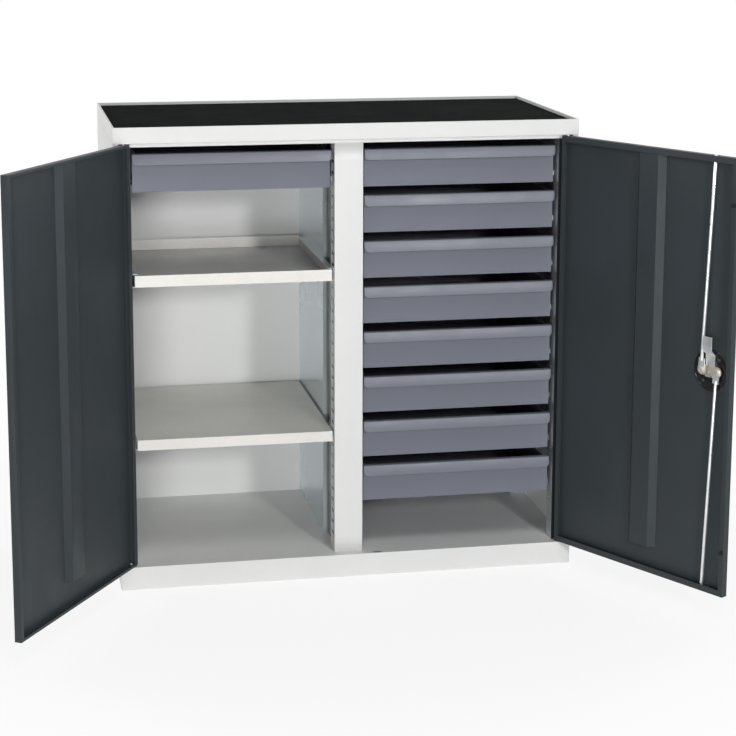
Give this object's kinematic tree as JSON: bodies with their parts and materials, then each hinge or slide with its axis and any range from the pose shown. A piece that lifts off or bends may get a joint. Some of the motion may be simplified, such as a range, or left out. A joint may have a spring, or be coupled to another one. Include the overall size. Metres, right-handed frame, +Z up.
{
  "type": "workshop cabinet",
  "caption": "Steel workshop cabinet with a tray top, hinged double doors with a rotary three-point lock, a stack of drawers, a pull-out tray and a fixed shelf.",
  "frame": {"origin": "on the floor, at the middle of the carcass footprint", "axes": "+Z up, +X to the right seen from the front, +Y to the back, so the doors face -Y"},
  "size_m": [1.4499, 0.9181, 1],
  "materials": {
    "carcass_paint": "satin powder coat",
    "door_paint": "fine-textured powder coat",
    "drawer_paint": "satin powder coat",
    "galvanised_sheet": "galvanised",
    "zinc_plated_steel": "zinc plated",
    "ribbed_rubber": "ribbed",
    "buffer_rubber": "matt",
    "black_plastic": "matt"
  },
  "bodies": {
    "carcass": {"left_side_panel": "carcass_paint", "right_side_panel": "carcass_paint", "back_panel": "carcass_paint", "base_pan": "carcass_paint", "top_tray": "carcass_paint", "top_mat": "ribbed_rubber", "front_top_rail": "carcass_paint", "centre_post": "carcass_paint", "left_partition_skin": "galvanised_sheet", "right_partition_skin": "galvanised_sheet", "left_uprights": "galvanised_sheet", "right_uprights": "galvanised_sheet", "fixed_shelf": "galvanised_sheet", "shelf_clips": "galvanised_sheet", "tray_runners": "galvanised_sheet", "left_drawer_runners": "galvanised_sheet", "right_drawer_runners": "galvanised_sheet", "left_hinge_pins": "zinc_plated_steel", "right_hinge_pins": "zinc_plated_steel"},
    "left_door": {"left_door_panel": "door_paint", "left_door_stiffener": "door_paint", "left_hinge_plates": "door_paint"},
    "right_door": {"right_door_panel": "door_paint", "right_door_stiffener": "door_paint", "right_hinge_plates": "door_paint", "door_buffers": "buffer_rubber", "lock_housing": "black_plastic", "lock_rosette": "black_plastic"},
    "lock_rotor": {"turn_handle": "black_plastic", "lock_spindle": "zinc_plated_steel", "latch_tongue": "zinc_plated_steel", "cam_plate": "zinc_plated_steel", "cam_pins": "zinc_plated_steel"},
    "key_cylinder": {"key_cylinder": "zinc_plated_steel"},
    "upper_rod": {"upper_lock_rod": "zinc_plated_steel"},
    "lower_rod": {"lower_lock_rod": "zinc_plated_steel"},
    "pullout_tray": {"pullout_tray": "galvanised_sheet"},
    "left_drawer": {"left_drawer_front": "drawer_paint", "left_drawer_box": "drawer_paint"},
    "right_drawer_1": {"right_drawer_1_front": "drawer_paint", "right_drawer_1_box": "drawer_paint"},
    "right_drawer_2": {"right_drawer_2_front": "drawer_paint", "right_drawer_2_box": "drawer_paint"},
    "right_drawer_3": {"right_drawer_3_front": "drawer_paint", "right_drawer_3_box": "drawer_paint"},
    "right_drawer_4": {"right_drawer_4_front": "drawer_paint", "right_drawer_4_box": "drawer_paint"},
    "right_drawer_5": {"right_drawer_5_front": "drawer_paint", "right_drawer_5_box": "drawer_paint"},
    "right_drawer_6": {"right_drawer_6_front": "drawer_paint", "right_drawer_6_box": "drawer_paint"},
    "right_drawer_7": {"right_drawer_7_front": "drawer_paint", "right_drawer_7_box": "drawer_paint"},
    "right_drawer_8": {"right_drawer_8_front": "drawer_paint", "right_drawer_8_box": "drawer_paint"}
  },
  "joints": [
    {"name": "left_door_swing", "type": "hinge", "parent": "carcass", "child": "left_door", "pos_m": [-0.478, -0.245, 0.5], "axis": [0, 0, -1], "range_deg": [-122, 3]},
    {"name": "right_door_swing", "type": "hinge", "parent": "carcass", "child": "right_door", "pos_m": [0.478, -0.245, 0.5], "axis": [0, 0, 1], "range_deg": [-119, 6]},
    {"name": "lock_turn", "type": "hinge", "parent": "right_door", "child": "lock_rotor", "pos_m": [0.67992, -0.60928, 0.521], "axis": [0.8746, 0.4848, 0], "range_deg": [0, 90]},
    {"name": "upper_rod_turn", "type": "hinge", "parent": "lock_rotor", "child": "upper_rod", "pos_m": [0.6662, -0.59402, 0.521], "axis": [0.8746, 0.4848, 0], "range_deg": [-95, 0]},
    {"name": "lower_rod_turn", "type": "hinge", "parent": "lock_rotor", "child": "lower_rod", "pos_m": [0.6856, -0.629, 0.521], "axis": [0.8746, 0.4848, 0], "range_deg": [-95, 0]},
    {"name": "key_turn", "type": "hinge", "parent": "lock_rotor", "child": "key_cylinder", "pos_m": [0.67992, -0.60928, 0.521], "axis": [0.8746, 0.4848, 0], "range_deg": [0, 90]},
    {"name": "pullout_tray_slide", "type": "slide", "parent": "carcass", "child": "pullout_tray", "axis": [0, -1, 0], "range_m": [0, 0.3]},
    {"name": "left_drawer_slide", "type": "slide", "parent": "carcass", "child": "left_drawer", "axis": [0, -1, 0], "range_m": [0, 0.3]},
    {"name": "right_drawer_1_slide", "type": "slide", "parent": "carcass", "child": "right_drawer_1", "axis": [0, -1, 0], "range_m": [0, 0.3]},
    {"name": "right_drawer_2_slide", "type": "slide", "parent": "carcass", "child": "right_drawer_2", "axis": [0, -1, 0], "range_m": [0, 0.3]},
    {"name": "right_drawer_3_slide", "type": "slide", "parent": "carcass", "child": "right_drawer_3", "axis": [0, -1, 0], "range_m": [0, 0.3]},
    {"name": "right_drawer_4_slide", "type": "slide", "parent": "carcass", "child": "right_drawer_4", "axis": [0, -1, 0], "range_m": [0, 0.3]},
    {"name": "right_drawer_5_slide", "type": "slide", "parent": "carcass", "child": "right_drawer_5", "axis": [0, -1, 0], "range_m": [0, 0.3]},
    {"name": "right_drawer_6_slide", "type": "slide", "parent": "carcass", "child": "right_drawer_6", "axis": [0, -1, 0], "range_m": [0, 0.3]},
    {"name": "right_drawer_7_slide", "type": "slide", "parent": "carcass", "child": "right_drawer_7", "axis": [0, -1, 0], "range_m": [0, 0.3]},
    {"name": "right_drawer_8_slide", "type": "slide", "parent": "carcass", "child": "right_drawer_8", "axis": [0, -1, 0], "range_m": [0, 0.3]}
  ],
  "couplings": [
    {"joint": "upper_rod_turn", "follows": "lock_turn", "ratio": -1.0287},
    {"joint": "lower_rod_turn", "follows": "lock_turn", "ratio": -1.0271}
  ]
}
